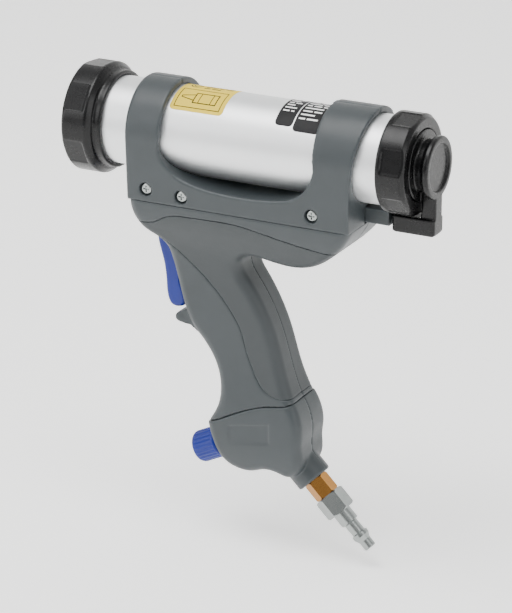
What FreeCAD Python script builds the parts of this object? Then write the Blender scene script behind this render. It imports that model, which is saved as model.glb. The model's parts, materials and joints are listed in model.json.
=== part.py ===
import FreeCAD, Part
import math
import os
from FreeCAD import Vector as V

# Air-powered caulking gun for a 310 ml cartridge.
# Frame: the barrel lies along X with the muzzle at x = 0 and the rear cap at +X; +Z is up, and
# the left side is -Y. The origin is the centre of the nozzle hole in the muzzle face. Sizes in mm.

# ---- driving sizes: barrel and its two caps
barrel_r = 27.0              # outside radius of the aluminium barrel
barrel_wall = 1.5
barrel_len = 210.0
muzzle_wall = 4.0            # thickness of the front cap's end wall
nozzle_hole_r = 13.0
washer_t = 1.8
front_skirt = 20.0           # length of the front cap's grip skirt
front_cap_r = 34.5
front_lip_r = 30.0           # small ring behind the skirt
front_lip_len = 5.0
ring_r = 30.5                # outside radius of the rear ring nut
ring_len = 18.0
ring_wall = 3.6              # the ring nut's inturned end wall
ring_hole_r = 22.0
grip_count = 6               # lands and pockets round each cap
pocket_depth = 1.4
thread_gap = 0.3             # running clearance of the caps on the barrel
seal_t = 2.5
flange_t = 3.0
boss_r = 19.0
boss_neck_r = 16.0
boss_len = 10.5              # from the ring nut's rear face to the boss's end face
dish_r = 14.5
dish_depth = 1.6
air_bore_r = 2.5

# ---- saddle that clamps the barrel
saddle_front = 42.5
saddle_rear = 191.5
saddle_lean = 6.5            # how far the rear edge leans back at the top
saddle_skin = 4.2            # thickness of the bands round the barrel
saddle_wall = 3.0
band_w = 23.5                # length of each band along the barrel
beam_gap = 0.6               # how far the window's floor lies below the barrel
seam_skin = 1.0              # plastic between the duct and the saddle-to-handle joint plane
saddle_half_w = 29.5         # half-width of the saddle at that plane
fit_gap = 0.15               # gap between fitted pieces

# ---- air duct under the barrel
duct_half_w = 6.0
duct_gap = 2.45              # from the saddle's cradle down to the duct
duct_h = 9.4
duct_start = 182.0
spigot_r = 3.0
spigot_len = 15.0
arm_half_w = 5.5
arm_depth = 9.5
foot_half_w = 7.2

# ---- handle
handle_wall = 4.0
grip_t = 1.8                 # thickness of the soft overmould
handle_round = 7.0           # edge radius of the handle
pivot_at = (62.0, -20.0)     # trigger pivot: x, and height from the seam
pivot_r = 2.0
trigger_half_w = 7.4
trigger_gap = 0.6
trigger_swing = 9.0          # degrees
valve_drop = 46.0            # the valve's axis below the seam
valve_front = 79.0
valve_len = 26.0
valve_r = 8.0
stem_r = 2.5
stem_head_r = 4.0
stem_travel = 4.3            # room behind the stem when the trigger is pulled
shaft_gap = 0.08             # radial clearance of sliding and turning shafts
hose_r = 3.0
hose_bore_r = 2.0
port_out, port_in, port_vent = 13.0, 19.0, 5.5   # along the valve from its front end

# ---- base with regulator and air inlet
base_wall = 3.0
seam_gap = 0.1               # between the handle and the base
base_round = 6.0
reg_at = (115.5, -149.2)     # the regulator's centre: x, and height from the seam
reg_tilt = 26.0              # degrees that the regulator's axis drops towards the front
reg_r = 11.0
reg_back = 18.0              # from the regulator's centre to its rear end
end_plug_t = 2.4
seat_at = -4.0               # the poppet's seat, along the regulator's axis
seat_t = 1.5
seat_r = 1.8
diaphragm_t = 1.2
reg_front = 6.0              # from its centre to the joint with the bonnet
bonnet_len = 18.0
bonnet_bore_r = 8.6
bonnet_end_t = 3.0
plate_t = 2.5
knob_r = 10.2
knob_len = 18.0
knob_gap = 1.6               # between the bonnet and the knob
knob_ribs = 24
adjuster_r = 2.5
adjuster_travel = 3.2        # how far the spring plate can move
inlet_at = (157.0, -174.0)   # centre of the neck's end face: x, and height from the seam
neck_r = 11.6
neck_len = 24.0
stem_in = 30.0               # how far the brass fitting reaches into the base
stem_in_r = 6.5
brass_flats = 14.0
brass_len = 12.6
steel_flats = 17.0
steel_len = 13.4
stub_r = 5.0                 # the fitting's threaded stub inside the plug
stub_len = 9.0
collar_r = 8.6               # the fitting's collar, which the two halves of the base trap
collar_t = 3.0
collar_at = 12.0
fitting_tip_r = 4.5
reg_boss_r = 7.5
poppet_room_r = 4.6
panel_depth = 0.6
plug_body_r = 5.95
plug_body_len = 9.0
plug_waist_r = 4.4
plug_waist_len = 7.5
plug_ring_r = 5.5
plug_ring_len = 3.0
plug_cone_len = 3.0
nose_r = 3.95
nose_len = 5.4

# ---- screws
screw_r = 2.0
head_r = 3.6
head_h = 2.4
head_sink = 1.4              # how far a head lies below the surface
counterbore_r = 4.2
saddle_screws = [(56.0, 8.0), (80.0, 6.5), (167.0, 8.0)]    # x, and height from the seam
handle_screws = [(81.6, -21.0), (150.0, -20.0), (99.0, -91.0)]
base_screws = [(142.0, -133.0), (121.0, -163.5)]

boss_wall = 2.0
saddle_reach, handle_reach, base_reach = 15.0, 10.0, 11.0   # past the middle plane
lug_in, lug_out = 8.0, 11.0
lug_half = 4.6
pin_half = 14.0              # half-length of the trigger's pin

# ---- worked out from the driving sizes
barrel_bore_r = barrel_r - barrel_wall
washer_x = muzzle_wall + thread_gap
barrel_x0 = washer_x + washer_t + thread_gap
barrel_x1 = barrel_x0 + barrel_len
cap_bore_r = barrel_r + thread_gap
flange_x = barrel_x1 + seal_t
ring_wall_x = flange_x + flange_t + thread_gap
ring_x1 = ring_wall_x + ring_wall
ring_x0 = ring_x1 - ring_len
boss_x1 = ring_x1 + boss_len
arm_x0 = boss_x1 - arm_depth
clear_r = barrel_r + fit_gap
duct_top = -(clear_r + duct_gap)
duct_bottom = duct_top - duct_h
seam_z = duct_bottom - seam_skin
duct_end = ring_x0 - 1.0
spigot_z = duct_bottom + spigot_r + 0.2
foot_top = -(ring_r + 0.6)
foot_bottom = duct_bottom - 2.6
foot_x0 = duct_end + 2.2
band_r = clear_r + saddle_skin
window_x0 = saddle_front + band_w
window_x1 = saddle_rear - band_w
window_z = -(barrel_r + beam_gap)
pivot = (pivot_at[0], seam_z + pivot_at[1])
valve_z = seam_z - valve_drop
reg_centre = (reg_at[0], seam_z + reg_at[1])
inlet_end = (inlet_at[0], seam_z + inlet_at[1])
saddle_screws_at = [(x, seam_z + z) for x, z in saddle_screws]
handle_screws_at = [(x, seam_z + z) for x, z in handle_screws]
base_screws_at = [(x, seam_z + z) for x, z in base_screws]
FAR = 400.0
X, Y, Z = V(1, 0, 0), V(0, 1, 0), V(0, 0, 1)
ORIGIN = V(0, 0, 0)
os.makedirs("parts", exist_ok=True)


def save(name, shape, count=1):
    """Write one node, which must hold the stated number of solids."""
    solids = shape.Solids
    assert len(solids) == count and shape.isValid(), (name, len(solids))
    body = solids[0] if count == 1 else Part.makeCompound(solids)
    body.exportStep("parts/" + name + ".step")


def rod(start, direction, length, radius):
    return Part.makeCylinder(radius, length, start, direction)


def tube(start, direction, length, outer, inner):
    return rod(start, direction, length, outer).cut(rod(start, direction, length, inner))


def block(x0, x1, y0, y1, z0, z1):
    return Part.makeBox(x1 - x0, y1 - y0, z1 - z0, V(x0, y0, z0))


def at(point, y=0.0):
    return V(point[0], y, point[1])


def below(points):
    """Outline points whose heights are given from the seam, in the model's frame."""
    return [(x, seam_z + z) for x, z in points]


def curve(points):
    """A smooth edge in the XZ plane through the points."""
    spline = Part.BSplineCurve()
    spline.interpolate([at(p) for p in points])
    return spline.toShape()


def straight(points):
    return [Part.makeLine(at(a), at(b)) for a, b in zip(points, points[1:])]


def side_slab(edges, half=60.0):
    """An outline in the XZ plane carried across the width."""
    face = Part.Face(Part.Wire(Part.__sortEdges__(edges)))
    face.translate(V(0, -half, 0))
    return face.extrude(V(0, 2 * half, 0))


def front_slab(profile, inset=0.0, x0=-20.0, x1=280.0):
    """A half-width profile of (half width, z) points, mirrored and carried along X."""
    right = [V(x0, w - inset, z) for w, z in profile]
    left = [V(x0, inset - w, z) for w, z in reversed(profile)]
    edges = []
    for side in (right, left):
        spline = Part.BSplineCurve()
        spline.interpolate(side)
        edges.append(spline.toShape())
    edges.insert(1, Part.makeLine(right[-1], left[0]))
    edges.append(Part.makeLine(left[-1], right[0]))
    return Part.Face(Part.Wire(edges)).extrude(V(x1 - x0, 0, 0))


def hexagon(start, direction, flats, length):
    """A hexagonal bar along any direction in the XZ plane, one corner facing -Y."""
    across = Y.cross(direction)
    corner = flats / math.sqrt(3)
    points = []
    for i in range(7):
        a = math.radians(60 * i)
        points.append(start + Y * (corner * math.cos(a)) + across * (corner * math.sin(a)))
    return Part.Face(Part.makePolygon(points)).extrude(direction * length)


def half_of(shape, side):
    """The part of a shape on one side of the middle plane: side is -1 for left, 1 for right."""
    keep = block(-50, 300, 0, 80, -300, 80)
    if side < 0:
        keep = keep.mirror(ORIGIN, Y)
    return shape.common(keep)


def turned(profile, start, direction):
    """A solid of revolution: profile is (distance along the axis, radius) points."""
    points = [V(s, 0, r) for s, r in profile]
    points += [V(profile[-1][0], 0, 0), V(profile[0][0], 0, 0), points[0]]
    clean = [p for p, q in zip(points, points[1:]) if p.distanceToPoint(q) > 1e-6] + [points[-1]]
    solid = Part.Face(Part.makePolygon(clean)).revolve(ORIGIN, X, 360)
    solid.Placement = FreeCAD.Placement(start, FreeCAD.Rotation(X, direction))
    return solid


def coil(start, direction, radius, wire_r, length, turns):
    """An open compression spring."""
    helix = Part.makeHelix((length - 2 * wire_r) / turns, length - 2 * wire_r, radius)
    section = Part.Wire(Part.makeCircle(wire_r, V(radius, 0, 0), Y))
    spring = Part.Wire(helix.Edges).makePipeShell([section], True, False)
    spring.translate(V(0, 0, wire_r))
    spring.Placement = FreeCAD.Placement(start, FreeCAD.Rotation(Z, direction)).multiply(
        spring.Placement)
    return spring


def bent_path(points):
    """Straight runs in the middle plane, joined by arcs as large as the runs allow."""
    pts = [at(p) for p in points]
    edges, last = [], pts[0]
    for a, b, c in zip(pts, pts[1:], pts[2:]):
        run_in, run_out = b - a, c - b
        reach = 0.45 * min(run_in.Length, run_out.Length)
        half_turn = run_in.getAngle(run_out) / 2
        into = b - run_in.normalize() * reach
        out = b + run_out.normalize() * reach
        inward = ((into + out) * 0.5 - b).normalize()
        radius = reach / math.tan(half_turn)
        middle = b + inward * (radius / math.cos(half_turn) - radius)
        edges.append(Part.LineSegment(last, into).toShape())
        edges.append(Part.Arc(into, middle, out).toShape())
        last = out
    edges.append(Part.LineSegment(last, pts[-1]).toShape())
    return Part.Wire(edges), (pts[1] - pts[0]).normalize()


def pipe(points, radius):
    """A round bar that follows a bent path."""
    path, heading = bent_path(points)
    ring = Part.Wire(Part.makeCircle(radius, at(points[0]), heading))
    return path.makePipeShell([ring], True, False)


def hose(points):
    return pipe(points, hose_r).cut(pipe(points, hose_bore_r))


# ---- caps

def scalloped(x0, x1, outer, first, pocket_x0, pocket_x1):
    """A grip drum with flat-floored pockets between plain lands."""
    drum = rod(V(x0, 0, 0), X, x1 - x0, outer)
    floor = outer - pocket_depth
    half = floor * math.tan(math.radians(90.0 / grip_count))
    for i in range(grip_count):
        tool = block(pocket_x0, pocket_x1, floor, outer + 5, -half, half)
        tool.rotate(ORIGIN, X, first + 360.0 / grip_count * i)
        drum = drum.cut(tool)
    return drum


def front_cap():
    drum = scalloped(0, front_skirt, front_cap_r, 206, -1, front_skirt - 5.0)
    edge = turned([(0, front_cap_r - 1.6), (1.6, front_cap_r), (front_skirt - 3.0, front_cap_r),
                   (front_skirt, front_cap_r - 3.0)], ORIGIN, X)
    lip = rod(V(front_skirt, 0, 0), X, front_lip_len, front_lip_r)
    body = drum.common(edge).fuse(lip)
    body = body.cut(rod(V(muzzle_wall, 0, 0), X, FAR, cap_bore_r))
    return body.cut(rod(V(-1, 0, 0), X, muzzle_wall + 2, nozzle_hole_r))


def rear_ring():
    drum = scalloped(ring_x0, ring_x1, ring_r, 163, ring_x0 + 3.0, ring_x1 + 1)
    edge = turned([(0, ring_r - 0.8), (0.8, ring_r), (ring_len - 2.4, ring_r),
                   (ring_len, ring_r - 2.4)], V(ring_x0, 0, 0), X)
    body = drum.common(edge)
    body = body.cut(rod(V(ring_x0 - 1, 0, 0), X, ring_wall_x - ring_x0 + 1, cap_bore_r))
    return body.cut(rod(V(ring_wall_x - 1, 0, 0), X, ring_wall + 2, ring_hole_r))


def rear_elbow():
    flange = rod(V(flange_x, 0, 0), X, flange_t, barrel_r - 0.1)
    hub = rod(V(flange_x, 0, 0), X, ring_x1 + 0.6 - flange_x, ring_hole_r - 0.5)
    neck = rod(V(flange_x, 0, 0), X, boss_x1 - 1 - flange_x, boss_neck_r)
    disc = turned([(0, boss_neck_r), (1.2, boss_r - 0.6), (1.8, boss_r), (4.2, boss_r),
                   (5.0, boss_r - 1.0)], V(boss_x1 - 5.0, 0, 0), X)
    arm = block(arm_x0, boss_x1, -arm_half_w, arm_half_w, foot_bottom, 0)
    arm = arm.makeFillet(1.6, [e for e in arm.Edges if e.Curve.Direction.isParallel(Z, 0.01)
                               or e.CenterOfMass.z < foot_bottom + 0.1])
    foot = block(foot_x0, boss_x1, -foot_half_w, foot_half_w, foot_bottom, foot_top)
    foot = foot.makeFillet(2.0, [e for e in foot.Edges if e.CenterOfMass.z < foot_top - 0.1])
    body = flange.fuse([hub, neck, disc, arm, foot])
    # clear the ring nut, which turns round the hub
    path = tube(V(ring_x0 - 1, 0, 0), X, ring_x1 + 0.5 - ring_x0 + 1, 60, ring_hole_r - 0.5)
    path = path.common(rod(V(ring_x0 - 1, 0, 0), X, FAR, ring_r + 0.55))
    path = path.cut(rod(V(flange_x, 0, 0), X, flange_t, barrel_r - 0.1))
    body = body.cut(path)
    # dish in the boss, socket for the duct's spigot, and the air way up to the barrel
    body = body.cut(rod(V(boss_x1 - dish_depth, 0, 0), X, 5, dish_r))
    centre_x = boss_x1 - arm_depth / 2
    socket_end = duct_end + spigot_len + 1.0
    body = body.cut(rod(V(foot_x0 - 1, 0, spigot_z), X, socket_end - foot_x0 + 1,
                        spigot_r + shaft_gap))
    groove = rod(V(foot_x0 + 3.0, 0, spigot_z), X, 2.0, spigot_r + 1.2)
    body = body.cut(groove)
    body = body.cut(rod(V(socket_end - 1, 0, spigot_z), X, centre_x - socket_end + 1, air_bore_r))
    body = body.cut(rod(V(centre_x, 0, spigot_z), Z, -spigot_z, air_bore_r))
    return body.cut(rod(V(flange_x - 1, 0, 0), X, centre_x - flange_x + 1, air_bore_r))


save("barrel_tube", tube(V(barrel_x0, 0, 0), X, barrel_len, barrel_r, barrel_bore_r))
save("front_cap", front_cap())
save("front_thrust_washer", tube(V(washer_x, 0, 0), X, washer_t, barrel_r - 0.3, nozzle_hole_r + 2))
save("rear_ring_nut", rear_ring())
save("rear_air_elbow", rear_elbow())
save("barrel_end_seal", tube(V(barrel_x1, 0, 0), X, seal_t, barrel_r - 0.1, ring_hole_r))
save("spigot_o_ring", tube(V(foot_x0 + 3.1, 0, spigot_z), X, 1.8, spigot_r + 1.15,
                           spigot_r + 0.3))


# ---- labels on the barrel

def label(x0, x1, from_deg, to_deg):
    """A thin sticker that wraps the barrel; angles run up from the left side over the top."""
    r, t = barrel_r, 0.12
    face = Part.Face(Part.makePolygon([V(x0, -r, 0), V(x1, -r, 0), V(x1, -r - t, 0),
                                       V(x0, -r - t, 0), V(x0, -r, 0)]))
    face.rotate(ORIGIN, X, -from_deg)
    return face.revolve(ORIGIN, X, from_deg - to_deg)


save("instruction_label", label(window_x0 + 1.5, window_x0 + 37.0, 42, 112))
save("rating_label", Part.makeCompound([
    label(window_x1 - 30.0, window_x1 - 18.5, 42, 108),
    label(window_x1 - 17.7, window_x1 - 0.5, 37, 108)]), 2)

# ---- saddle: two mirrored halves that clamp the barrel

out_x = valve_front + port_out
in_x = valve_front + port_in
DELIVERY = [(out_x, valve_z + valve_r + 0.2), *below([(out_x, -16), (106, -8), (154, -7.5)]),
            (171.5, spigot_z), (duct_start - 0.1, spigot_z)]
SADDLE_REAR = [(saddle_rear, seam_z), (saddle_rear, -22), (saddle_rear + 0.9, -8),
               (saddle_rear + 3.2, 10), (saddle_rear + saddle_lean, band_r + 1)]
WINDOW = [(window_x0, 2), (window_x0 + 2.2, window_z + 14.6), (window_x0 + 10, window_z + 7.6),
          (window_x0 + 25, window_z + 2.4), (window_x0 + 50, window_z),
          (window_x1 - 27, window_z + 1.2), (window_x1 - 10, window_z + 6.4),
          (window_x1 - 2.2, window_z + 15.6), (window_x1, 2)]


def saddle_section(inset=0.0):
    """The saddle's cross-section, carried along the barrel: two flanks and the band's arc."""
    r = band_r - inset
    flank = Part.Face(Part.makePolygon([
        V(-20, -saddle_half_w + inset, seam_z), V(-20, saddle_half_w - inset, seam_z),
        V(-20, r, 0), V(-20, -r, 0), V(-20, -saddle_half_w + inset, seam_z)]))
    return flank.extrude(V(300, 0, 0)).fuse(rod(V(-20, 0, 0), X, 300, r)).removeSplitter()


def half_width_at(z):
    """Half-width of the saddle's flank at a height between the barrel's axis and the seam."""
    return band_r + (saddle_half_w - band_r) * z / seam_z


def width_at(profile, z):
    """Half-width of a handle or base profile at a height."""
    for (w0, z0), (w1, z1) in zip(profile, profile[1:]):
        if z1 <= z <= z0:
            return w0 + (w1 - w0) * (z - z0) / (z1 - z0)


def screw(place, side, surface, reach):
    """A pan-head screw along Y whose head sinks below the surface on that side."""
    top = side * (surface - head_sink)
    start = V(place[0], top, place[1])
    inward = V(0, -side, 0)
    body = turned([(0, head_r - 0.9), (0.3, head_r - 0.3), (0.9, head_r), (head_h, head_r),
                   (head_h, screw_r), (surface - head_sink + reach, screw_r)], start, inward)
    for wide, high in ((2.0, 0.45), (0.45, 2.0)):
        bar = block(-wide, wide, -1.1, 1.1, -high, high)
        body = body.cut(bar.translated(start))
    return body


def screw_hole(place, side, surface, reach):
    """The counterbore and hole for that screw."""
    start = V(place[0], side * (surface + 4), place[1])
    inward = V(0, -side, 0)
    well = rod(start, inward, 4 + head_sink + head_h, counterbore_r)
    return well.fuse(rod(start, inward, surface + 4 + reach + 0.3, screw_r + 0.02))


def screw_post(place):
    """The plastic that a screw runs through, from one side to the other."""
    return rod(at(place, -40), Y, 80, counterbore_r + boss_wall)


def lugs(places, z_far, grow=0.0):
    """Ears that stand out of one moulding and into the next, one each side at each screw."""
    ears = []
    for x, z in places:
        z0, z1 = sorted((z_far, z + math.copysign(lug_half, z - z_far)))
        for side in (-1, 1):
            y0, y1 = sorted((side * (lug_in - grow), side * (lug_out + grow)))
            ears.append(block(x - lug_half - grow, x + lug_half + grow, y0, y1,
                              z0 - grow, z1 + grow))
    return ears


def webs(places, z0, z1):
    """Short walls that tie the ears to the sides."""
    return [block(x - lug_half, x + lug_half, *sorted((side * lug_in, side * 40)), z0, z1)
            for x, z in places for side in (-1, 1)]


def saddle():
    ends = [Part.makeLine(at((saddle_front, seam_z)), at((saddle_rear, seam_z))),
            curve(SADDLE_REAR),
            *straight([SADDLE_REAR[-1], (saddle_front, band_r + 1), (saddle_front, seam_z)])]
    body = side_slab(ends).common(saddle_section())
    opening = side_slab([curve(WINDOW), *straight([WINDOW[-1], (window_x1, 50), (window_x0, 50),
                                                   WINDOW[0]])])
    body = body.cut(opening)
    front = [e for e in body.Edges if e.BoundBox.XMax < saddle_front + 0.01
             and e.CenterOfMass.z > seam_z + 1]
    body = body.makeFillet(2.2, front)
    # the hollow below the barrel's cradle
    x0, x1 = saddle_front + saddle_wall, saddle_rear - saddle_wall
    hollow = saddle_section(saddle_wall).common(block(x0, x1, -50, 50, seam_z - 1, 0))
    hollow = hollow.cut(rod(V(-5, 0, 0), X, FAR, clear_r + saddle_wall))
    for x in (window_x0 - 2, window_x1 - 1, 118.0):
        hollow = hollow.cut(block(x, x + 2.2, -50, 50, seam_z, 0))
    hollow = hollow.common(side_slab(straight([
        (x0, seam_z - 1), (x1, seam_z - 1), (x1, window_z + 13.6),
        (window_x1 - 6, window_z + 3.2), (window_x1 - 28, window_z - 1.8),
        (window_x0 + 26, window_z - 1.8), (window_x0 + 6, window_z + 3.6),
        (x0, window_z + 13.6), (x0, seam_z - 1)])))
    body = body.cut(hollow)
    posts = [screw_post(p) for p in saddle_screws_at]
    posts.append(block(duct_start - 5, saddle_rear - 1, -duct_half_w - 3, duct_half_w + 3,
                       seam_z, duct_top + 2))
    posts = [p.common(saddle_section()).common(block(0, FAR, -50, 50, seam_z, 0)) for p in posts]
    body = body.fuse(posts)
    body = body.cut(rod(V(-5, 0, 0), X, FAR, clear_r))
    body = body.cut(lugs(saddle_screws_at[:2], seam_z - 4, fit_gap))
    body = body.cut(pipe(DELIVERY, hose_r + 0.4))
    # channel for the duct and for the hose that feeds it
    body = body.cut(block(duct_start - 0.5, FAR, -duct_half_w - fit_gap, duct_half_w + fit_gap,
                          seam_z - 1, duct_top + fit_gap))
    for place in saddle_screws_at:
        body = body.cut(screw_hole(place, -1, half_width_at(place[1]), saddle_reach))
    return body


saddle_body = saddle()
save("saddle_left", half_of(saddle_body, -1))
save("saddle_right", half_of(saddle_body, 1))
save("saddle_screws", Part.makeCompound([
    screw(p, -1, half_width_at(p[1]), saddle_reach) for p in saddle_screws_at]), 3)

# ---- air duct
duct = block(duct_start, duct_end, -duct_half_w, duct_half_w, duct_bottom, duct_top)
duct = duct.makeFillet(1.0, [e for e in duct.Edges if e.BoundBox.XLength > 5])
duct = duct.fuse(rod(V(duct_end, 0, spigot_z), X, spigot_len, spigot_r))
duct = duct.fuse(rod(V(duct_start - 6, 0, spigot_z), X, 7, hose_bore_r - 0.02))
duct = duct.cut(rod(V(duct_start - 8, 0, spigot_z), X, FAR, 1.3))
save("air_duct", duct)

# ---- handle: a beam under the saddle and a grip below it, in two mirrored halves

FRONT_RUN = below([(saddle_front, 0), (43.4, -8), (46.4, -15), (51.2, -20.6), (57.5, -24.4),
                   (62.4, -29), (64.8, -36), (67, -46), (71.2, -64), (77.5, -80), (86, -90.5),
                   (92.5, -100), (96.8, -111), (98, -121), (97, -129), (94, -136), (90.6, -141.6)])
FOOT_SEAM = below([(90.6, -141.6), (99, -138.4), (110, -132.8), (122, -127.4), (132, -124.4),
                   (141, -122.8), (149, -120.6)])
BACK_RUN = below([(149, -120.6), (144.8, -111), (140.6, -98), (134.6, -78), (126.4, -60),
                  (118.4, -47.4), (113.6, -39.4), (113.6, -32.6), (119, -28.6), (130, -28.8),
                  (142, -30.8), (152, -31), (163, -28.2), (175, -20.6), (186, -9.5),
                  (saddle_rear, 0)])
HANDLE_WIDTHS = below([(31.6, 10), (saddle_half_w, 0), (27.6, -10), (23.6, -20), (19.8, -30),
                       (17.6, -40), (16.4, -55), (16.0, -80), (16.6, -105), (18.0, -120),
                       (19.0, -132), (19.4, -150)])
SKIN_TOP = below([(30, -12), (52, -14.5), (60, -13), (67, -9), (88, -6), (117, -6), (140, -10),
                  (162, -14), (200, -16)])
SKIN_FRONT = below([(30, -22), (60, -23), (72, -31), (80, -38), (92, -49), (105, -64), (113, -77),
                    (118, -93), (122, -102), (127, -111), (133, -116), (142, -118), (200, -119)])


def inset_run(points, inset, beyond=8.0):
    """A run moved towards the material on its left, with both ends carried further."""
    line = curve(points)
    moved = []
    for point in points:
        at_point = line.Curve.parameter(at(point))
        heading = line.Curve.tangent(at_point)[0]
        moved.append(at(point) + V(-heading.z, 0, heading.x) * inset)
    first = line.tangentAt(line.FirstParameter)
    last = line.tangentAt(line.LastParameter)
    moved = [moved[0] - first * beyond] + moved + [moved[-1] + last * beyond]
    return [(p.x, p.z) for p in moved]


def round_rims(body, runs, radius, inset=0.0):
    """Round the edges where the flanks meet the given runs."""
    lines = [curve(run) for run in runs]
    rims = []
    for edge in body.Edges:
        mid = edge.valueAt((edge.FirstParameter + edge.LastParameter) / 2)
        spot = Part.Vertex(V(mid.x, 0, mid.z))
        near = min(spot.distToShape(line)[0] for line in lines)
        if near < 0.3 and abs(mid.y) > 5 and edge.Length > 4:
            rims.append(edge)
    return body.makeFillet(radius, rims)


def handle_solid(inset=0.0, rounded=True):
    """The handle's outer form, or a longer form that lies inset beneath it."""
    runs = [FRONT_RUN, BACK_RUN]
    ends = [curve(FOOT_SEAM), *straight([BACK_RUN[-1], FRONT_RUN[0]])]
    if inset:
        runs = [inset_run(run, inset) for run in runs]
        ends = straight([runs[0][-1], runs[1][0]]) + straight([runs[1][-1], runs[0][0]])
    body = side_slab([curve(run) for run in runs] + ends)
    body = body.common(front_slab(HANDLE_WIDTHS, inset))
    return round_rims(body, runs, handle_round - inset) if rounded else body


def finger_rest():
    """The small hook that keeps the finger on the trigger."""
    tip = turned([(0, 2.0), (0.6, 2.8), (1.6, 3.2), (20.4, 3.2), (21.4, 2.8), (22, 2.0)],
                 V(68.2, -11, seam_z - 78.8), Y)
    web = side_slab(straight(below([(68.2, -75.6), (78, -70), (86, -90), (76, -83), (68.2, -82),
                                    (68.2, -75.6)])), half=10.5)
    return tip.fuse(web)


def trigger_outline():
    front = below([(57, -15), (54.4, -20), (51.4, -27), (52.0, -34), (54.8, -44), (56.8, -58),
                   (58, -68.5), (60.6, -73), (66, -73.8), (69.8, -71.6), (70.2, -66), (68.6, -60),
                   (66, -52)])
    back = [front[-1], *below([(66, -40), (69.5, -31), (71, -20), (67, -13.5)]), front[0]]
    return front, [curve(front), *straight(back)], back


def trigger():
    front, edges, back = trigger_outline()
    body = side_slab(edges, half=trigger_half_w)
    rims = [e for e in body.Edges if e.BoundBox.YLength < 0.01 and e.Length > 60]
    body = body.makeFillet(2.6, rims)
    return body.cut(rod(at(pivot, -20), Y, 40, pivot_r + shaft_gap))


def hull(points):
    """The closed convex outline round some (x, z) points."""
    outline = []
    for run in (sorted(points), sorted(points, reverse=True)):
        chain = []
        for p in run:
            while len(chain) > 1:
                (ax, az), (bx, bz) = chain[-2:]
                if (bx - ax) * (p[1] - az) - (bz - az) * (p[0] - ax) > 1e-9:
                    break
                chain.pop()
            chain.append(p)
        outline += chain[:-1]
    return outline + outline[:1]


def trigger_slot():
    """The room that the trigger sweeps through."""
    swept = []
    for turn in (0.0, trigger_swing):
        c, s = math.cos(math.radians(turn)), math.sin(math.radians(turn))
        for x, z in trigger_outline()[0] + trigger_outline()[2]:
            dx, dz = x - pivot[0], z - pivot[1]
            swept.append((pivot[0] + dx * c - dz * s, pivot[1] + dz * c + dx * s))
    grown = [(x + i * trigger_gap, z + j * trigger_gap) for x, z in swept
             for i in (-1, 1) for j in (-1, 1)]
    return side_slab(straight(hull(grown)), half=trigger_half_w + trigger_gap)


def along_valve(distance, height=0.0):
    return V(valve_front + distance, 0, valve_z + height)


def handle():
    outer = handle_solid()
    hollow = handle_solid(handle_wall, rounded=False)
    body = outer.cut(hollow).fuse(finger_rest().cut(hollow))
    inner = [screw_post(p) for p in handle_screws_at]
    inner += [rod(at(pivot, -30), Y, 60, 5.0)]
    inner += [block(valve_front + s, valve_front + s + 1.8, -30, 30, valve_z - 12, valve_z + 12)
              for s in (0.2, valve_len - 4)]
    inner += webs(saddle_screws_at[:2], seam_z - handle_wall, seam_z)
    inner += webs(base_screws_at[:1], seam_z - 125, seam_z - 116)
    body = body.fuse([p.common(outer) for p in inner])
    body = body.fuse(lugs(saddle_screws_at[:2], seam_z - 3) + lugs(base_screws_at[:1], seam_z - 118))
    body = body.cut(rod(V(0, 0, 0), X, FAR, clear_r + saddle_wall + fit_gap))
    body = body.cut(trigger_slot())
    body = body.cut(rod(at(pivot, -pin_half), Y, 2 * pin_half, pivot_r))
    body = body.cut(rod(along_valve(-14), X, valve_len + 18, valve_r + fit_gap))
    for place in saddle_screws_at[:2]:
        body = body.cut(screw_hole(place, -1, half_width_at(place[1]), saddle_reach))
    for place in handle_screws_at:
        body = body.cut(screw_hole(place, 1, width_at(HANDLE_WIDTHS, place[1]), handle_reach))
    place = base_screws_at[0]
    return body.cut(screw_hole(place, 1, width_at(BASE_WIDTHS, place[1]), base_reach))


BASE_WIDTHS = below([(17.6, -110), (18.4, -118), (19.0, -125), (19.8, -136), (19.6, -148),
                     (18.6, -157), (14.6, -172), (11.0, -184)])
handle_body = handle()
skin_region = side_slab([curve(SKIN_TOP), curve(SKIN_FRONT), *straight([SKIN_TOP[0], SKIN_FRONT[0]]),
                         *straight([SKIN_TOP[-1], SKIN_FRONT[-1]])])
cover = skin_region.cut(handle_solid(grip_t))
for name, piece in (("handle", handle_body.cut(cover)), ("grip", handle_body.common(cover))):
    save(name + "_left", half_of(piece, -1))
    save(name + "_right", half_of(piece, 1))
save("handle_screws", Part.makeCompound([
    screw(p, 1, width_at(HANDLE_WIDTHS, p[1]), handle_reach) for p in handle_screws_at]), 3)
save("trigger", trigger())
save("trigger_pin", rod(at(pivot, -pin_half + 0.1), Y, 2 * pin_half - 0.2, pivot_r))

# ---- trigger valve
valve_end = valve_front + valve_len
body = rod(along_valve(0), X, valve_len, valve_r)
for s, up in ((port_out, 1), (port_in, -1), (port_vent, -1)):
    body = body.fuse(rod(along_valve(s), V(0, 0, up), valve_r + 5, hose_bore_r - 0.02))
body = body.cut(rod(along_valve(-1), X, valve_len + 2, stem_r + shaft_gap))
body = body.cut(rod(along_valve(valve_len - 6), X, 7, valve_r - 2.5))
for s, up in ((port_out, 1), (port_in, -1), (port_vent, -1)):
    body = body.cut(rod(along_valve(s), V(0, 0, up), valve_r + 6, 1.2))
save("valve_body", body)
cap = rod(along_valve(valve_len - 4), X, 4, valve_r - 2.55)
cap = cap.fuse(rod(along_valve(valve_len), X, 2, valve_r - 1))
save("valve_end_cap", cap)
stem_x = 66.3                # the stem's head, just behind the trigger
stem_len = valve_end - 4.0 - stem_travel - stem_x
waist_0 = valve_front + port_vent - 0.5 - stem_x
waist_1 = valve_front + port_out + 1.2 - stem_x
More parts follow.
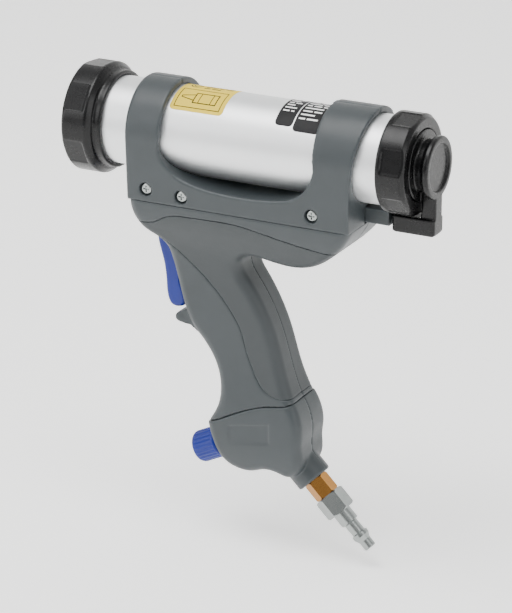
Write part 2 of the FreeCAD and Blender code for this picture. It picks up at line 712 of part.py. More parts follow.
stem = turned([(0, 1.4), (0.5, 3.0), (1.4, stem_head_r), (2.2, stem_head_r), (2.2, stem_r),
               (waist_0, stem_r), (waist_0 + 0.6, 1.5), (waist_1 - 0.6, 1.5), (waist_1, stem_r),
               (stem_len, stem_r)], V(stem_x, 0, valve_z), X)
save("valve_stem", stem)
spring_at = stem_x + 2.25
save("valve_spring", coil(V(spring_at, 0, valve_z), X, 3.3, 0.35, valve_front - spring_at - 0.05,
                          5))
save("exhaust_silencer", tube(along_valve(port_vent, -valve_r - 0.2), V(0, 0, -1), 9, 3.2,
                              hose_bore_r))

# ---- hoses inside the handle
reg_dir = V(-math.cos(math.radians(reg_tilt)), 0, -math.sin(math.radians(reg_tilt)))
save("delivery_hose", hose(DELIVERY))


def along_reg(distance):
    """A point on the regulator's axis; positive distances run towards the knob."""
    return at(reg_centre) + reg_dir * distance


outlet = along_reg(-2.0)
outlet_top = outlet.z + reg_r + 7.0
save("supply_hose", hose([(in_x, valve_z - valve_r - 0.2), *below([(in_x, -68), (119, -100),
                          (outlet.x, -118)]), (outlet.x, outlet_top - 3.4)]))

# ---- base: two mirrored halves round the regulator and the air inlet

BASE_TOP = [(x, z - seam_gap) for x, z in FOOT_SEAM]
BASE_RUN = [BASE_TOP[0], *below([(92, -148), (94.4, -156), (98.5, -164.5), (104.5, -169.6),
            (112, -172), (120, -171.6), (128, -168.8), (136, -169), (144, -171), (151.5, -167.5),
            (155.4, -159.5), (154.6, -150), (155.2, -141), (153.8, -131)]), BASE_TOP[-1]]
PANEL = below([(106.4, -140.4), (134.8, -134.9), (134.8, -148.2), (106.4, -153.7), (106.4, -140.4)])
inlet_dir = V(1, 0, -1).normalize()
knob_start = reg_front + bonnet_len + knob_gap


def along_inlet(distance):
    """A point on the inlet's axis; positive distances run out of the neck."""
    return at(inlet_end) + inlet_dir * distance


def base_solid():
    body = side_slab([curve(BASE_RUN), curve(BASE_TOP)]).common(front_slab(BASE_WIDTHS))
    return round_rims(body, [BASE_RUN], base_round)


def base_hollow():
    run = inset_run(BASE_RUN, base_wall)
    body = side_slab([curve(run), *straight([run[-1], run[0]])])
    return body.common(front_slab(BASE_WIDTHS, base_wall))


def base():
    outer = base_solid()
    body = outer.cut(base_hollow())
    neck = rod(along_inlet(-neck_len), inlet_dir, neck_len, neck_r)
    neck = neck.makeFillet(1.2, [e for e in neck.Edges
                                 if e.CenterOfMass.distanceToPoint(at(inlet_end)) < 0.1])
    inner = [screw_post(p) for p in base_screws_at]
    for s in (-reg_back + 3.0, 10.0):
        rib = block(0, 2.2, -30, 30, -reg_r - 3.2, reg_r + 3.2)
        rib.Placement = FreeCAD.Placement(along_reg(s), FreeCAD.Rotation(X, reg_dir))
        inner.append(rib)
    body = body.fuse([p.common(outer) for p in inner] + [neck])
    body = body.cut(lugs(base_screws_at[:1], seam_z - 118, fit_gap))
    # rooms for the regulator, its outlet, the knob and the fitting
    body = body.cut(rod(along_reg(-reg_back - fit_gap), reg_dir, FAR, reg_r + fit_gap))
    body = body.cut(rod(V(outlet.x, 0, outlet.z), Z, 40, hose_r + 0.6))
    body = body.cut(rod(along_inlet(-stem_in - 4), inlet_dir, stem_in + 14, stem_in_r + fit_gap))
    body = body.cut(rod(along_inlet(-stem_in - 6), inlet_dir, 12, reg_boss_r + fit_gap))
    body = body.cut(rod(along_inlet(-collar_at - fit_gap), inlet_dir, collar_t + 2 * fit_gap,
                        collar_r + fit_gap))
    for place in base_screws_at:
        body = body.cut(screw_hole(place, 1, width_at(BASE_WIDTHS, place[1]), base_reach))
    panel = side_slab(straight(PANEL))
    for side in (-1, 1):
        y = side * (width_at(BASE_WIDTHS, seam_z - 144) - panel_depth)
        skin_cut = panel.common(block(0, FAR, *sorted((y, side * 50)), -300, 0))
        body = body.cut(skin_cut)
    return body


base_body = base()
save("base_left", half_of(base_body, -1))
save("base_right", half_of(base_body, 1))
save("base_screws", Part.makeCompound([
    screw(p, 1, width_at(BASE_WIDTHS, p[1]), base_reach) for p in base_screws_at]), 2)

# ---- pressure regulator
body = rod(along_reg(-reg_back), reg_dir, reg_back + reg_front, reg_r)
body = body.fuse(rod(outlet, Z, reg_r + 3.5, hose_r + 0.4))
body = body.fuse(rod(outlet, Z, outlet_top - outlet.z, hose_bore_r - 0.02))
body = body.fuse(rod(along_inlet(-stem_in - 5), inlet_dir, 9, reg_boss_r))
body = body.fuse(rod(along_inlet(-stem_in - 11), inlet_dir, 8, reg_boss_r - 1))
body = body.cut(rod(along_reg(seat_at), reg_dir, FAR, bonnet_bore_r))
body = body.cut(rod(along_reg(seat_at - 3), reg_dir, 4, seat_r))
body = body.cut(rod(along_reg(-FAR), reg_dir, FAR + seat_at - seat_t, poppet_room_r))
body = body.cut(rod(outlet, Z, 40, 1.2))
body = body.cut(rod(along_inlet(-stem_in), inlet_dir, 10, fitting_tip_r))
body = body.cut(rod(along_inlet(-stem_in - 11), inlet_dir, 20, air_bore_r))
save("regulator_body", body)
save("regulator_end_plug", rod(along_reg(-reg_back), reg_dir, end_plug_t, poppet_room_r))
poppet_at = seat_at - seat_t - 3.0
save("poppet", turned([(0, 2.9), (2.9, 2.9), (2.9, 0.9), (reg_front - poppet_at - 0.1, 0.9)],
                      along_reg(poppet_at), reg_dir))
spring_at = -reg_back + end_plug_t + 0.05
save("poppet_spring", coil(along_reg(spring_at), reg_dir, 2.2, 0.3, poppet_at - spring_at - 0.05,
                           5))
save("diaphragm", rod(along_reg(reg_front), reg_dir, diaphragm_t, reg_r - 0.1))
bonnet = tube(along_reg(reg_front + diaphragm_t), reg_dir, bonnet_len - diaphragm_t, reg_r,
              bonnet_bore_r)
bonnet = bonnet.fuse(tube(along_reg(reg_front + bonnet_len - bonnet_end_t), reg_dir, bonnet_end_t,
                          reg_r, adjuster_r + shaft_gap))
save("regulator_bonnet", bonnet)
plate_at = reg_front + bonnet_len - bonnet_end_t - 1.5 - plate_t
save("spring_plate", tube(along_reg(plate_at), reg_dir, plate_t, bonnet_bore_r - 0.5,
                          adjuster_r + shaft_gap))
spring_at = reg_front + diaphragm_t + 0.05
save("regulator_spring", coil(along_reg(spring_at), reg_dir, 6.0, 0.6, plate_at - spring_at - 0.05,
                              5))
adjuster = rod(along_reg(plate_at - adjuster_travel - 1.0), reg_dir,
               knob_start + 8 - plate_at + adjuster_travel + 1.0, adjuster_r)
save("adjusting_screw", adjuster)
knob = turned([(0, knob_r - 1.2), (1.2, knob_r), (knob_len - 2.4, knob_r), (knob_len - 0.8,
               knob_r - 0.8), (knob_len, knob_r - 2.6)], along_reg(knob_start), reg_dir)
side_step = reg_dir.cross(Y)
for i in range(knob_ribs):
    a = 2 * math.pi * i / knob_ribs
    out = (Y * math.cos(a) + side_step * math.sin(a)) * (knob_r + 0.45)
    knob = knob.cut(rod(along_reg(knob_start + 2.0) + out, reg_dir, knob_len, 0.95))
save("pressure_knob", knob.cut(adjuster))

# ---- air inlet
hexes = hexagon(at(inlet_end), inlet_dir, brass_flats, brass_len)
corner = brass_flats / math.sqrt(3)
hexes = hexes.common(turned([(0, corner - 0.8), (0.9, corner), (brass_len - 0.9, corner),
                             (brass_len, corner - 0.8)], at(inlet_end), inlet_dir))
tip = turned([(0, fitting_tip_r), (4.5, fitting_tip_r), (4.5, stem_in_r),
              (stem_in - collar_at, stem_in_r), (stem_in - collar_at, collar_r),
              (stem_in - collar_at + collar_t, collar_r),
              (stem_in - collar_at + collar_t, stem_in_r), (stem_in + 1, stem_in_r)],
             along_inlet(-stem_in), inlet_dir)
stub = rod(along_inlet(brass_len - 1), inlet_dir, stub_len + 1, stub_r)
bore = rod(along_inlet(-stem_in - 1), inlet_dir, FAR, air_bore_r)
save("inlet_fitting", hexes.fuse([tip, stub]).cut(bore))
save("inlet_filter", tube(along_inlet(-stem_in + 1), inlet_dir, 9, air_bore_r, air_bore_r - 0.8))
corner = steel_flats / math.sqrt(3)
hexes = hexagon(along_inlet(brass_len), inlet_dir, steel_flats, steel_len)
hexes = hexes.common(turned([(0, corner - 1.1), (1.1, corner), (steel_len - 1.1, corner),
                             (steel_len, corner - 1.1)], along_inlet(brass_len), inlet_dir))
ring_at = plug_body_len + plug_waist_len
nose_at = ring_at + plug_ring_len + plug_cone_len
profile = [(-1, plug_body_r), (plug_body_len - 0.8, plug_body_r), (plug_body_len, plug_waist_r),
           (ring_at, plug_waist_r), (ring_at + 0.6, plug_ring_r),
           (ring_at + plug_ring_len, plug_ring_r), (nose_at, nose_r),
           (nose_at + nose_len, nose_r), (nose_at + nose_len + 0.6, nose_r - 0.6)]
plug = hexes.fuse(turned(profile, along_inlet(brass_len + steel_len), inlet_dir))
plug = plug.cut(rod(along_inlet(brass_len - 1), inlet_dir, stub_len + 1.4, stub_r))
save("coupling_plug", plug.cut(rod(at(inlet_end), inlet_dir, FAR, air_bore_r)))
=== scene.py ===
import json
import math
import bmesh
import bpy
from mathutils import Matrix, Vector


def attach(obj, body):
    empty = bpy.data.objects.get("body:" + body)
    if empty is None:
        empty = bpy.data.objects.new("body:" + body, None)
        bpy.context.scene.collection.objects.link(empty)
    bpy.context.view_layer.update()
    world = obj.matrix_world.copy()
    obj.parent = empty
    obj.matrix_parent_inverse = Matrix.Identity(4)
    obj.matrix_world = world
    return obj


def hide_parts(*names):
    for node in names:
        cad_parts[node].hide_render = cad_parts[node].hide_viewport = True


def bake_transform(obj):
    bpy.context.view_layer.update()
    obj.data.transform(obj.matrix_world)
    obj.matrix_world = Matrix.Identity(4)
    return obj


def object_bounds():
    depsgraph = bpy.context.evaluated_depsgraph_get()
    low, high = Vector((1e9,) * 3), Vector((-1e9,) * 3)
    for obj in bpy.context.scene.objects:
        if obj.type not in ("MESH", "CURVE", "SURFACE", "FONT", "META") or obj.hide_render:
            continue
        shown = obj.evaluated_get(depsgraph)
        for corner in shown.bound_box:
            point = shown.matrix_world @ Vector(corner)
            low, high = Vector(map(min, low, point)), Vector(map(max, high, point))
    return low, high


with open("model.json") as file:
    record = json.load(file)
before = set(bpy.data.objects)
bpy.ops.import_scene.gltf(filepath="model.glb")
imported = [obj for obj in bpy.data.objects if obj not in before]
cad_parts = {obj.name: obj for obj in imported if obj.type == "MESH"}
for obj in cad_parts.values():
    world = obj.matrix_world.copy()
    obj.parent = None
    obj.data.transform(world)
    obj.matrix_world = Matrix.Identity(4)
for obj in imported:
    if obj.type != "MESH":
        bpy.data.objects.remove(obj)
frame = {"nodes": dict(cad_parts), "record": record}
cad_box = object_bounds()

MM = 0.001
scene = bpy.context.scene
BODY_OF = {n: b for b, ns in frame["record"]["behaviour"]["bodies"].items() for n in ns}

# ---- Studio: a pale table under a wide soft light, seen from the tool's left rear.
# The floor runs up into a pale backdrop, so the tool stands against an even light ground.


def linear(code):
    """An sRGB hex colour as linear RGBA."""
    def one(c):
        return c / 12.92 if c <= 0.04045 else ((c + 0.055) / 1.055) ** 2.4
    return tuple(one(int(code[i:i + 2], 16) / 255) for i in (1, 3, 5)) + (1.0,)


def node(tree, kind, settings=None, **inputs):
    """Add a node: settings are its properties, inputs are values or the sockets that feed them.
    An input is named with _ for a space, or as in and its number where names repeat."""
    made = tree.nodes.new(kind)
    for name, value in (settings or {}).items():
        setattr(made, name, value)
    for name, value in inputs.items():
        numbered = name.startswith("in") and name[2:].isdigit()
        socket = made.inputs[int(name[2:]) if numbered else name.replace("_", " ")]
        if isinstance(value, bpy.types.NodeSocket):
            tree.links.new(value, socket)
        else:
            socket.default_value = value
    return made


def blank_material(name):
    """A material with a Principled shader; returns the material, its tree and the shader."""
    mat = bpy.data.materials.new(name)
    mat.use_nodes = True
    return mat, mat.node_tree, mat.node_tree.nodes["Principled BSDF"]


CAMERA_AT = (0.91730, -1.57275, 0.56439)
CAMERA_TO = (0.115941, 0.0, -0.107221)
CAMERA_LENS = 181.35
FLOOR_DROP = 0.012           # how far the floor lies below the air plug's tip
TABLE_GLOW = 0.60            # the table is a frosted sheet lit from beneath
WORLD_LIGHT = 0.85           # the white ceiling
ROOM_LIGHT = 0.22            # the darker room at eye level, which gives metal its dark bands
CEILING_FROM = 0.5           # sine of the height at which the ceiling's full light starts
FLOOR_NEAR = -6.0            # the floor runs from here, in metres, to the backdrop's foot
FLOOR_FAR = 2.2
SWEEP_R = 1.2                # the bend between floor and backdrop
BACKDROP_TOP = 5.0
BACKDROP_HALF_W = 7.0
TOOL_MIDDLE = (0.12, 0.0, -0.08)
SOFTBOXES = (                # name, place, size in metres, watts
    ("softbox_top", (-0.15, -0.55, 1.7), (1.5, 1.1), 38.0),
    ("softbox_left", (-1.3, -1.5, 0.7), (0.9, 1.3), 17.0),
    ("softbox_right", (1.9, -0.7, 0.5), (0.8, 1.3), 10.0),
)


def look_at(obj, place, target):
    """Put a camera or a lamp at a place and turn it towards a point."""
    obj.location = place
    obj.rotation_euler = (Vector(target) - Vector(place)).to_track_quat("-Z", "Y").to_euler()


camera = bpy.data.objects.new("camera", bpy.data.cameras.new("camera"))
scene.collection.objects.link(camera)
look_at(camera, CAMERA_AT, CAMERA_TO)
camera.data.lens = CAMERA_LENS
camera.data.sensor_width = 36.0
camera.data.clip_start = 0.05
scene.camera = camera

floor_z = cad_box[0][2] - FLOOR_DROP
profile = [(FLOOR_NEAR, 0.0), (FLOOR_FAR, 0.0)]
profile += [(FLOOR_FAR + SWEEP_R * math.sin(a), SWEEP_R - SWEEP_R * math.cos(a))
            for a in (math.radians(d) for d in range(10, 91, 10))]
profile += [(FLOOR_FAR + SWEEP_R, BACKDROP_TOP)]
mesh = bpy.data.meshes.new("floor")
verts = [(x, y, floor_z + z) for y, z in profile for x in (-BACKDROP_HALF_W, BACKDROP_HALF_W)]
quads = [(2 * i, 2 * i + 1, 2 * i + 3, 2 * i + 2) for i in range(len(profile) - 1)]
mesh.from_pydata(verts, [], quads)
for face in mesh.polygons:
    face.use_smooth = True
floor = bpy.data.objects.new("floor", mesh)
scene.collection.objects.link(floor)
paper, tree, shader = blank_material("backdrop_paper")
grain = node(tree, "ShaderNodeTexNoise", Scale=3.0, Detail=2.0)
tone = node(tree, "ShaderNodeMix", {"data_type": "RGBA"}, in0=grain.outputs[0])
tone.inputs[6].default_value = linear("#fbfbfa")
tone.inputs[7].default_value = linear("#fefefd")
tree.links.new(tone.outputs[2], shader.inputs["Base Color"])
tree.links.new(tone.outputs[2], shader.inputs["Emission Color"])
shader.inputs["Emission Strength"].default_value = TABLE_GLOW
shader.inputs["Roughness"].default_value = 0.9
mesh.materials.append(paper)

world = bpy.data.worlds.new("studio")
scene.world = world
world.use_nodes = True
sky = world.node_tree
sky.nodes["Background"].inputs[0].default_value = linear("#ffffff")
height = node(sky, "ShaderNodeSeparateXYZ",
              Vector=node(sky, "ShaderNodeTexCoord").outputs["Generated"])
glow = node(sky, "ShaderNodeMapRange", Value=height.outputs[2], From_Min=0.0,
            From_Max=CEILING_FROM, To_Min=ROOM_LIGHT, To_Max=WORLD_LIGHT)
sky.links.new(glow.outputs[0], sky.nodes["Background"].inputs[1])

for name, place, size, watts in SOFTBOXES:
    lamp = bpy.data.lights.new(name, "AREA")
    lamp.shape = "RECTANGLE"
    lamp.size, lamp.size_y = size
    lamp.energy = watts
    softbox = bpy.data.objects.new(name, lamp)
    scene.collection.objects.link(softbox)
    look_at(softbox, place, TOOL_MIDDLE)

# ---- Saddle, handle and base shells: glass-filled nylon, injection moulded in mirrored halves
# that meet in the middle plane, screwed together. Spark-eroded mould steel leaves a fine matt
# grain. 0.35 mm grain: the real one is nearer 0.1 mm, too fine to show at this distance.
WELD = 1e-6                  # corners of the CAD triangles closer than this, in metres, are one
CLOUD_MM = 14.0              # size of the slow changes of tone
SMEAR_MM = 5.0               # size of the changes of gloss
SMEAR_ROUGH = 0.07
GRAIN_STRENGTH = 0.6


def speckle(tree, coords, size_mm, detail=2.0, rough=0.6):
    """A noise whose spots are about size_mm across."""
    return node(tree, "ShaderNodeTexNoise", Vector=coords, Scale=1.0 / (size_mm * MM),
                Detail=detail, Roughness=rough)


def spread(tree, source, low, high):
    """Stretch a 0..1 pattern to run from low to high."""
    return node(tree, "ShaderNodeMapRange", Value=source, To_Min=low, To_Max=high).outputs[0]


def tinted(tree, factor, dark, light):
    """Colour that runs from dark to light with a factor."""
    mix = node(tree, "ShaderNodeMix", {"data_type": "RGBA"}, in0=factor)
    mix.inputs[6].default_value = linear(dark)
    mix.inputs[7].default_value = linear(light)
    return mix.outputs[2]


def polymer(name, dark, light, edge, rough, grain_mm, grain_depth, shine=0.5):
    """A moulded plastic or rubber: cloudy tone, mould grain, and edges rubbed a little paler."""
    mat, tree, shader = blank_material(name)
    coords = node(tree, "ShaderNodeTexCoord").outputs["Object"]
    cloud = speckle(tree, coords, CLOUD_MM, 3.0)
    colour = tinted(tree, cloud.outputs[0], dark, light)
    geometry = node(tree, "ShaderNodeNewGeometry")
    worn = node(tree, "ShaderNodeMapRange", Value=geometry.outputs["Pointiness"], From_Min=0.52,
                From_Max=0.60, To_Min=0.0, To_Max=0.5)
    rubbed = node(tree, "ShaderNodeMix", {"data_type": "RGBA"}, in0=worn.outputs[0], in6=colour)
    rubbed.inputs[7].default_value = linear(edge)
    tree.links.new(rubbed.outputs[2], shader.inputs["Base Color"])
    smear = speckle(tree, coords, SMEAR_MM, 4.0)
    tree.links.new(spread(tree, smear.outputs[0], rough - SMEAR_ROUGH, rough + SMEAR_ROUGH),
                   shader.inputs["Roughness"])
    grain = speckle(tree, coords, grain_mm, 2.0, 0.7)
    bump = node(tree, "ShaderNodeBump", Strength=GRAIN_STRENGTH, Distance=grain_depth * MM,
                Height=grain.outputs[0])
    tree.links.new(bump.outputs[0], shader.inputs["Normal"])
    shader.inputs["Specular IOR Level"].default_value = shine
    return mat


def finish_nodes(material, *names):
    """Give CAD nodes a material."""
    for name in names:
        mesh = frame["nodes"][name].data
        mesh.materials.clear()
        mesh.materials.append(material)


def merged_copy(name):
    """A new object that holds a CAD node's triangles with their shared corners welded."""
    mesh = frame["nodes"][name].data.copy()
    bm = bmesh.new()
    bm.from_mesh(mesh)
    bmesh.ops.remove_doubles(bm, verts=bm.verts, dist=WELD)
    bm.to_mesh(mesh)
    bm.free()
    obj = bpy.data.objects.new(name + "_moulding", mesh)
    scene.collection.objects.link(obj)
    return obj


def softened(material, voxel_mm, passes, *names):
    """Replace moulded nodes by skins whose edges are rounded the way a mould rounds them."""
    for name in names:
        obj = merged_copy(name)
        skin = obj.modifiers.new("skin", "REMESH")
        skin.mode = "VOXEL"
        skin.voxel_size = voxel_mm * MM
        relax = obj.modifiers.new("round", "SMOOTH")
        relax.factor = 0.5
        relax.iterations = passes
        graph = bpy.context.evaluated_depsgraph_get()
        baked = bpy.data.meshes.new_from_object(obj.evaluated_get(graph))
        obj.modifiers.clear()
        obj.data = baked
        for face in baked.polygons:
            face.use_smooth = True
        baked.materials.clear()
        baked.materials.append(material)
        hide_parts(name)
        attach(obj, BODY_OF[name])


shell_nylon = polymer("glass_filled_nylon_spark_eroded", "#2c3234", "#33393c", "#50575a", 0.44,
                      0.35, 0.05)
softened(shell_nylon, 0.8, 4, "saddle_left", "saddle_right", "handle_left", "handle_right")
softened(shell_nylon, 0.7, 4, "base_left", "base_right")

# ---- Grip inlays: thermoplastic rubber moulded on to the handle's back and sides.
# Duller than the nylon round them, and set flush behind a fine groove.
grip_tpr = polymer("thermoplastic_rubber_matt_moulded", "#2c3133", "#313638", "#485053", 0.52,
                   0.30, 0.05)
softened(grip_tpr, 0.5, 3, "grip_left", "grip_right")

# ---- Air duct: a satin nylon moulding that lies under the barrel between the saddle halves
duct_nylon = polymer("nylon_moulded_satin", "#2b3133", "#31373a", "#4c5457", 0.45, 0.4, 0.04)
finish_nodes(duct_nylon, "air_duct")

# ---- Barrel: extruded aluminium tube, etched and clear anodised to a satin silver.
# Die lines run along the tube, so highlights stretch softly across it.
ALONG_BARREL = (0.03, 1.0, 1.0)  # squeezes the marks' pattern, so that they run along X
EVENLY = (1.0, 1.0, 1.0)
TARNISH_MM = 18.0
MARKS_ROUGH = 0.06
MARKS_STRENGTH = 0.5


def metal(name, colour, tarnish, rough, line_mm, depth=0.01, stretch=EVENLY):
    """A metal with fine marks: stretch gives their pattern's scale along each axis."""
    mat, tree, shader = blank_material(name)
    coords = node(tree, "ShaderNodeTexCoord").outputs["Object"]
    mapped = node(tree, "ShaderNodeMapping", Vector=coords, Scale=stretch)
    marks = speckle(tree, mapped.outputs[0], line_mm, 3.0, 0.6)
    cloud = speckle(tree, coords, TARNISH_MM, 3.0)
    tree.links.new(tinted(tree, cloud.outputs[0], tarnish, colour), shader.inputs["Base Color"])
    tree.links.new(spread(tree, marks.outputs[0], rough - MARKS_ROUGH, rough + MARKS_ROUGH),
                   shader.inputs["Roughness"])
    bump = node(tree, "ShaderNodeBump", Strength=MARKS_STRENGTH, Distance=depth * MM,
                Height=marks.outputs[0])
    tree.links.new(bump.outputs[0], shader.inputs["Normal"])
    shader.inputs["Metallic"].default_value = 1.0
    return mat


anodised = metal("anodised_aluminium_extruded", "#f0f1f1", "#e6e8ea", 0.46, 0.5,
                 stretch=ALONG_BARREL)
finish_nodes(anodised, "barrel_tube")

# ---- Caps and elbow: black nylon from polished moulds, screwed on to the barrel's ends.
# The moulds' polish gives broad soft reflections with a faint waviness.
cap_nylon = polymer("black_nylon_polished_mould", "#050506", "#080809", "#1c1d1f", 0.28, 1.2,
                    0.02, shine=0.3)
softened(cap_nylon, 0.6, 3, "front_cap")
softened(cap_nylon, 0.5, 3, "rear_ring_nut", "rear_air_elbow")

# ---- Thrust washer: natural acetal, turned, loose between the front cap and the barrel's end
washer_acetal = polymer("natural_acetal_turned", "#d9d6cc", "#e4e1d8", "#f2f0ea", 0.35, 0.6, 0.02)
finish_nodes(washer_acetal, "front_thrust_washer")

# ---- Trigger and knob: blue acetal, moulded, slightly glossy where fingers rub it.
# The trigger swings on a steel pin; the knob is pressed on to the adjusting screw.
blue_acetal = polymer("blue_acetal_moulded", "#021a74", "#032082", "#15399c", 0.38, 0.5, 0.03,
                      shine=0.4)
softened(blue_acetal, 0.4, 2, "trigger")
softened(blue_acetal, 0.35, 2, "pressure_knob")

# ---- Screws and coupling plug: turned steel, zinc plated. The screws clamp the halves, and the
# plug screws into the brass fitting.
zinc = metal("zinc_plated_steel_turned", "#a4a8a6", "#8b908f", 0.24, 0.6)
finish_nodes(zinc, "saddle_screws", "handle_screws", "base_screws", "coupling_plug",
             "adjusting_screw")

# ---- Inlet fitting, end plug and poppet: brass, turned from hexagon and round bar
brass = metal("brass_turned_bar", "#b98547", "#9c6c34", 0.22, 0.5)
finish_nodes(brass, "inlet_fitting", "regulator_end_plug", "poppet")

# ---- Pin, valve stem, spring plate and poppet's spring: plain steel, hidden inside the handle
steel = metal("spring_steel_ground", "#c4c6c8", "#a9acb0", 0.30, 0.4)
finish_nodes(steel, "trigger_pin", "valve_stem", "poppet_spring", "spring_plate")

# ---- Springs: drawn steel wire. Each closes up between the piece that pushes it and the frame.
# Their ends are x, z in mm, first at the near body and then at the far one.
VALVE_SPRING = ("valve_spring", "valve_stem", "gun_frame", (68.6, -86.0), (78.9, -86.0))
REGULATOR_SPRING = ("regulator_spring", "gun_frame", "spring_plate", (108.98, -192.38),
                    (100.27, -196.63))


def closing_spring(name, near_body, far_body, start, end):
    """A CAD spring's wire as a welded copy in steel, baked in place."""
    obj = merged_copy(name)
    obj.name = name + "_wire"
    for face in obj.data.polygons:
        face.use_smooth = True
    obj.data.materials.clear()
    obj.data.materials.append(steel)
    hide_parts(name)
    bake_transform(obj)


closing_spring(*VALVE_SPRING)
closing_spring(*REGULATOR_SPRING)

# ---- Valve and regulator bodies: aluminium, machined from bar, held between the shell halves
bar_aluminium = metal("aluminium_machined", "#d5d7d9", "#c3c6c9", 0.34, 0.5)
finish_nodes(bar_aluminium, "valve_body", "valve_end_cap", "regulator_body", "regulator_bonnet")

# ---- Silencer and inlet filter: bronze powder, pressed and sintered, grainy and dull
bronze = metal("sintered_bronze", "#a98a58", "#8b6d3f", 0.6, 0.3, depth=0.08)
finish_nodes(bronze, "exhaust_silencer", "inlet_filter")

# ---- Seals and diaphragm: black nitrile rubber, moulded
nitrile = polymer("nitrile_rubber_moulded", "#0c0c0c", "#121212", "#242424", 0.6, 0.4, 0.02)
finish_nodes(nitrile, "barrel_end_seal", "spigot_o_ring", "diaphragm")

# ---- Hoses: black polyurethane tube, extruded, pushed on to the ports inside the handle
hose_pu = polymer("polyurethane_tube_extruded", "#141517", "#191a1d", "#2e3034", 0.35, 2.0, 0.01)
finish_nodes(hose_pu, "delivery_hose", "supply_hose")

# ---- Labels: vinyl stickers wrapped round the barrel, with rounded corners.
# One is yellow; the other is a black pair beside the rear band.
BARREL_R = 27.0
STICKER_T = 0.12
STICKER_CORNER = 2.6
YELLOW_AT = (67.5, 42.0)     # x in mm and degrees up from the left side, at a lower corner
BLACK_AT = (138.0, 42.0)
BLACK_2_AT = (150.3, 37.0)
YELLOW_SIZE = (35.5, 70)     # mm along the barrel and degrees round it
BLACK_SIZE = (11.5, 66)
BLACK_2_SIZE = (17.2, 71)
label_yellow = polymer("vinyl_printed_yellow", "#d4b300", "#dabb04", "#e8d05a", 0.6, 3.0, 0.005,
                       shine=0.15)
label_black = polymer("vinyl_printed_black", "#070708", "#0b0b0c", "#1c1c1e", 0.5, 3.0, 0.005,
                      shine=0.2)


def on_barrel(corner, u, v, lift):
    """The point u mm along and v mm up from a sticker's lower corner, lift mm above its face."""
    radius = BARREL_R + STICKER_T + lift
    angle = math.radians(corner[1]) + v / BARREL_R
    return ((corner[0] + u) * MM, -radius * math.cos(angle) * MM, radius * math.sin(angle) * MM)


def finish_mesh(name, bm, material):
    """Turn a bmesh that lies on the barrel into a piece of the tool's frame."""
    bmesh.ops.recalc_face_normals(bm, faces=bm.faces)
    mesh = bpy.data.meshes.new(name)
    bm.to_mesh(mesh)
    bm.free()
    mesh.materials.append(material)
    obj = bpy.data.objects.new(name, mesh)
    scene.collection.objects.link(obj)
    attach(obj, "gun_frame")
    return obj


def join_rings(bm, rings):
    """Walls between rings of four corners, closed at both ends."""
    for first, second in zip(rings, rings[1:]):
        for k in range(4):
            bm.faces.new((first[k], first[(k + 1) % 4], second[(k + 1) % 4], second[k]))
    bm.faces.new(rings[0][::-1])
    bm.faces.new(rings[-1])


def sticker(cad_name, plates, material):
    """Vinyl plates with rounded corners, each (corner, size), in place of a CAD label."""
    bm = bmesh.new()
    for corner, (width, degrees) in plates:
        tall = math.radians(degrees) * BARREL_R
        heights = [STICKER_CORNER * (1 - math.cos(math.radians(d))) for d in range(0, 91, 15)]
        middle = [STICKER_CORNER + (tall - 2 * STICKER_CORNER) * k / 20 for k in range(1, 20)]
        rings = []
        for v in heights + middle + [tall - h for h in heights[::-1]]:
            near = STICKER_CORNER - min(v, tall - v, STICKER_CORNER)
            inset = STICKER_CORNER - math.sqrt(max(STICKER_CORNER ** 2 - near ** 2, 0.0))
            rings.append([bm.verts.new(on_barrel(corner, u, v, lift)) for u, lift in (
                (inset, -STICKER_T), (width - inset, -STICKER_T), (width - inset, 0.0),
                (inset, 0.0))])
        join_rings(bm, rings)
    obj = finish_mesh(cad_name + "_vinyl", bm, material)
    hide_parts(cad_name)


sticker("instruction_label", [(YELLOW_AT, YELLOW_SIZE)], label_yellow)
sticker("rating_label", [(BLACK_AT, BLACK_SIZE), (BLACK_2_AT, BLACK_2_SIZE)], label_black)

# ---- Print on the labels: screen-printed ink, a plain drawing of a cartridge and a tick, and
# bars that stand for lines of writing
INK_T = 0.03
INK_STEP = 1.2               # strokes are cut this often, in mm, to follow the barrel
WORD_GAP = 1.2
ink_black = polymer("screen_ink_black", "#0a0a0a", "#101010", "#202020", 0.6, 1.0, 0.002, shine=0.1)
ink_white = polymer("screen_ink_white", "#e9e9e6", "#f4f4f1", "#ffffff", 0.5, 1.0, 0.002, shine=0.2)


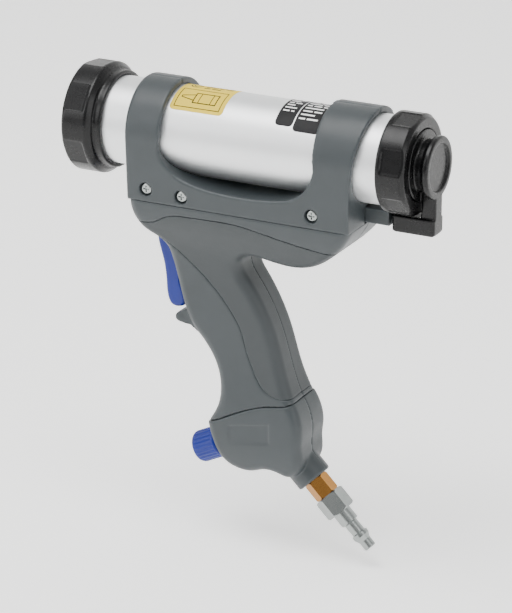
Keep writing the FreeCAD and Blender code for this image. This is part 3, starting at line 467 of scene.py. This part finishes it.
def printed(name, strokes, material):
    """Strokes of ink, each (corner, points, width in mm, closed), as one mesh on the barrel."""
    bm = bmesh.new()
    for corner, points, width, closed in strokes:
        ends = points[1:] + points[:1] if closed else points[1:]
        runs = list(zip(points, ends))
        for (u0, v0), (u1, v1) in runs:
            length = math.hypot(u1 - u0, v1 - v0)
            du, dv = (u1 - u0) / length, (v1 - v0) / length
            pieces = max(1, round(length / INK_STEP))
            reach = width / 2 if len(runs) > 1 else 0.0
            rings = []
            for step in range(pieces + 1):
                along = -reach + (length + 2 * reach) * step / pieces
                ring = []
                for side, lift in ((-0.5, 0.0), (0.5, 0.0), (0.5, INK_T), (-0.5, INK_T)):
                    u = u0 + du * along - dv * side * width
                    v = v0 + dv * along + du * side * width
                    ring.append(bm.verts.new(on_barrel(corner, u, v, lift)))
                rings.append(ring)
            join_rings(bm, rings)
    finish_mesh(name, bm, material)


def bar_rows(corner, left, rows, top, pitch, width):
    """Lines of writing as bars: rows holds the lengths of each line's words."""
    made = []
    for row, words in enumerate(rows):
        u = left
        for word in words:
            height = top - row * pitch
            made.append((corner, [(u, height), (u + word, height)], width, False))
            u += word + WORD_GAP
    return made


# the drawings' points are mm along and up from their label's corner
tick_ring = [(7.5 + 3.4 * math.cos(math.radians(d)), 25.8 + 3.4 * math.sin(math.radians(d)))
             for d in range(0, 360, 20)]
instruction_art = [
    (YELLOW_AT, [(2.6, 2.6), (32.6, 2.6), (32.6, 18.6), (2.6, 18.6)], 0.5, True),
    (YELLOW_AT, [(13.5, 6.4), (28.5, 6.4), (28.5, 14.8), (13.5, 14.8)], 0.7, True),
    (YELLOW_AT, [(13.2, 8.2), (5.0, 10.0), (5.0, 11.2), (13.2, 13.0)], 0.6, False),
    (YELLOW_AT, [(17.0, 6.6), (17.0, 14.6)], 0.5, False),
    (YELLOW_AT, [(25.0, 6.6), (25.0, 14.6)], 0.5, False),
    (YELLOW_AT, tick_ring, 0.7, True),
    (YELLOW_AT, [(5.8, 25.8), (7.2, 24.2), (9.6, 27.6)], 0.8, False),
]
instruction_art += bar_rows(YELLOW_AT, 13.6, [(5, 7, 4), (8, 3, 5), (4, 6)], 28.6, 2.9, 1.1)
printed("instruction_print", instruction_art, ink_black)
rating_art = bar_rows(BLACK_AT, 1.6, [(4, 3), (6,), (3, 4), (5,), (7.5,), (4, 2)], 27.0, 3.1, 1.1)
rating_art += bar_rows(BLACK_2_AT, 1.6, [(5, 7), (8, 3.5), (3, 5, 3), (12,), (6, 5), (9,), (4, 7)],
                       29.0, 3.3, 1.2)
printed("rating_print", rating_art, ink_white)
